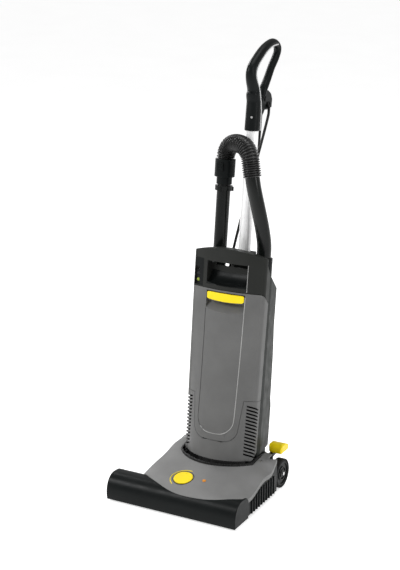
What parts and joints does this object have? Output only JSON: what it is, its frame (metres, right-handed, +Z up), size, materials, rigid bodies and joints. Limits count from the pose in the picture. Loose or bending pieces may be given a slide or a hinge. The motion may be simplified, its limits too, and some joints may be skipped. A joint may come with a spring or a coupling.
{
  "type": "upright vacuum cleaner",
  "caption": "Upright vacuum cleaner with a wide brush head, a reclining body with a bag door, a clip-on wand and hose, a looped handle grip and a mains cord coiled behind it.",
  "frame": {"origin": "centre of the object's box on the floor, measured without the cord", "axes": "+Z up, -Y the way the brush head looks, +X to the right seen from behind"},
  "size_m": [0.3985, 0.7408, 1.1946],
  "materials": {
    "black": "lightly grained moulded plastic",
    "dark": "dark moulded plastic, satin",
    "rear": "dark moulded plastic, fine grain",
    "grey": "mid-grey moulded plastic, satin",
    "yellow": "yellow moulded plastic, semi-gloss",
    "silver": "anodised aluminium tube",
    "trim": "silver plastic trim",
    "steel": "bright steel",
    "motor": "painted motor can over laminations and copper",
    "rubber": "flexible rubber",
    "tyre": "solid rubber tyre",
    "bristle": "nylon bristles",
    "bag": "fleece dust bag",
    "filter": "filter fleece",
    "lamp": "translucent amber lens",
    "lens": "translucent yellow-green lens"
  },
  "bodies": {
    "head": {"nozzle_housing": "black", "head_cover": "grey", "head_chassis": "black", "sole_plate": "black", "neck_seal": "rubber", "brush_bearings": "steel", "brush_motor": "motor", "drive_belt": "rubber", "wheel_axle": "steel", "lamp_lens": "lamp", "pedal_pin": "steel", "cover_screws": "steel", "neck_hose": "rubber", "cord_fall": "rubber", "cord_coil": "rubber", "cord_tail": "rubber", "cord_tie": "rubber", "plug": "black"},
    "brush": {"brush_roller": "black", "brush_bristles": "bristle"},
    "motor_pinion": {"motor_pulley": "steel"},
    "wheel_left": {"wheel_hub_left": "black", "tyre_left": "tyre"},
    "wheel_right": {"wheel_hub_right": "black", "tyre_right": "tyre"},
    "dial": {"height_dial": "yellow"},
    "carriage": {"height_carriage": "black"},
    "rollers": {"front_rollers": "rubber"},
    "pedal": {"foot_pedal": "yellow", "pedal_lever": "black"},
    "upright": {"lower_housing": "grey", "rear_housing": "rear", "pivot_yoke": "black", "suction_motor": "motor", "motor_frame": "black", "motor_filter": "filter", "exhaust_filter": "filter", "air_duct": "black", "bag_holder": "black", "dust_bag": "bag", "top_cap": "dark", "indicator_lens": "lens", "handle_tube": "silver", "grip": "black", "grip_trim": "trim", "cable_hook": "black", "pipe_socket": "black", "curved_pipe": "black", "ribbed_hose": "rubber", "cord_gland": "rubber", "housing_screws": "steel", "cord_run": "rubber"},
    "fan": {"impeller": "silver"},
    "door": {"front_door": "grey"},
    "latch": {"door_latch": "yellow"},
    "switch": {"switch_rocker": "black"},
    "wand": {"wand_tube": "black", "hose_cuff": "black"},
    "cuff_catch": {"cuff_button": "black"},
    "lower_cord_hook": {"lower_hook": "black"}
  },
  "joints": [
    {"name": "recline", "type": "hinge", "parent": "head", "child": "upright", "pos_m": [0.033, 0.02479, 0.04085], "axis": [-1, 0, 0], "range_deg": [0, 65], "deforming": ["neck_hose", "cord_fall"]},
    {"name": "wheel_left_spin", "type": "hinge", "parent": "head", "child": "wheel_left", "pos_m": [-0.1097, 0.02479, 0.04085], "axis": [1, 0, 0], "continuous": true},
    {"name": "wheel_right_spin", "type": "hinge", "parent": "head", "child": "wheel_right", "pos_m": [0.1757, 0.02479, 0.04085], "axis": [1, 0, 0], "continuous": true},
    {"name": "brush_spin", "type": "hinge", "parent": "head", "child": "brush", "pos_m": [0, -0.23681, 0.031], "axis": [1, 0, 0], "continuous": true},
    {"name": "motor_pinion_spin", "type": "hinge", "parent": "head", "child": "motor_pinion", "pos_m": [0.17, -0.14481, 0.045], "axis": [1, 0, 0], "continuous": true},
    {"name": "dial_turn", "type": "hinge", "parent": "head", "child": "dial", "pos_m": [0.004, -0.20881, 0.08201], "axis": [0, -0.2079, 0.9781], "range_deg": [0, 270]},
    {"name": "carriage_drop", "type": "slide", "parent": "head", "child": "carriage", "axis": [0, 0, -1], "range_m": [0, 0.006]},
    {"name": "rollers_spin", "type": "hinge", "parent": "carriage", "child": "rollers", "pos_m": [0, -0.18281, 0.011], "axis": [1, 0, 0], "continuous": true},
    {"name": "pedal_press", "type": "hinge", "parent": "head", "child": "pedal", "pos_m": [0.151, 0.00719, 0.088], "axis": [-1, 0, 0], "range_deg": [0, 12], "stiffness_Nm_per_rad": 2, "springref_deg": -8.59},
    {"name": "door_open", "type": "hinge", "parent": "upright", "child": "door", "pos_m": [0.033, -0.09278, 0.16509], "axis": [1, 0, 0], "range_deg": [0, 60]},
    {"name": "latch_pull", "type": "hinge", "parent": "door", "child": "latch", "pos_m": [0.033, -0.01905, 0.5489], "axis": [-1, 0, 0], "range_deg": [0, 8], "stiffness_Nm_per_rad": 0.4, "springref_deg": -8.59},
    {"name": "switch_rock", "type": "hinge", "parent": "upright", "child": "switch", "pos_m": [-0.061, 0.00145, 0.59168], "axis": [1, 0, 0], "range_deg": [-8, 8]},
    {"name": "wand_lift", "type": "slide", "parent": "upright", "child": "wand", "axis": [0, 0.1245, 0.9922], "range_m": [0, 0.06], "deforming": ["ribbed_hose"]},
    {"name": "cuff_button_press", "type": "slide", "parent": "wand", "child": "cuff_catch", "axis": [0, 0.9922, -0.1245], "range_m": [0, 0.0012], "stiffness_N_per_m": 500, "springref_m": -0.002},
    {"name": "lower_hook_turn", "type": "hinge", "parent": "upright", "child": "lower_cord_hook", "pos_m": [0.033, 0.09261, 0.3303], "axis": [0, 0.9922, -0.1245], "range_deg": [0, 180]},
    {"name": "fan_spin", "type": "hinge", "parent": "upright", "child": "fan", "pos_m": [0.033, -0.03322, 0.19491], "axis": [0, 0.1245, 0.9922], "continuous": true}
  ],
  "couplings": [
    {"joint": "motor_pinion_spin", "follows": "brush_spin", "ratio": 1.875},
    {"joint": "dial_turn", "follows": "carriage_drop", "rad_per_m": 785.4}
  ]
}
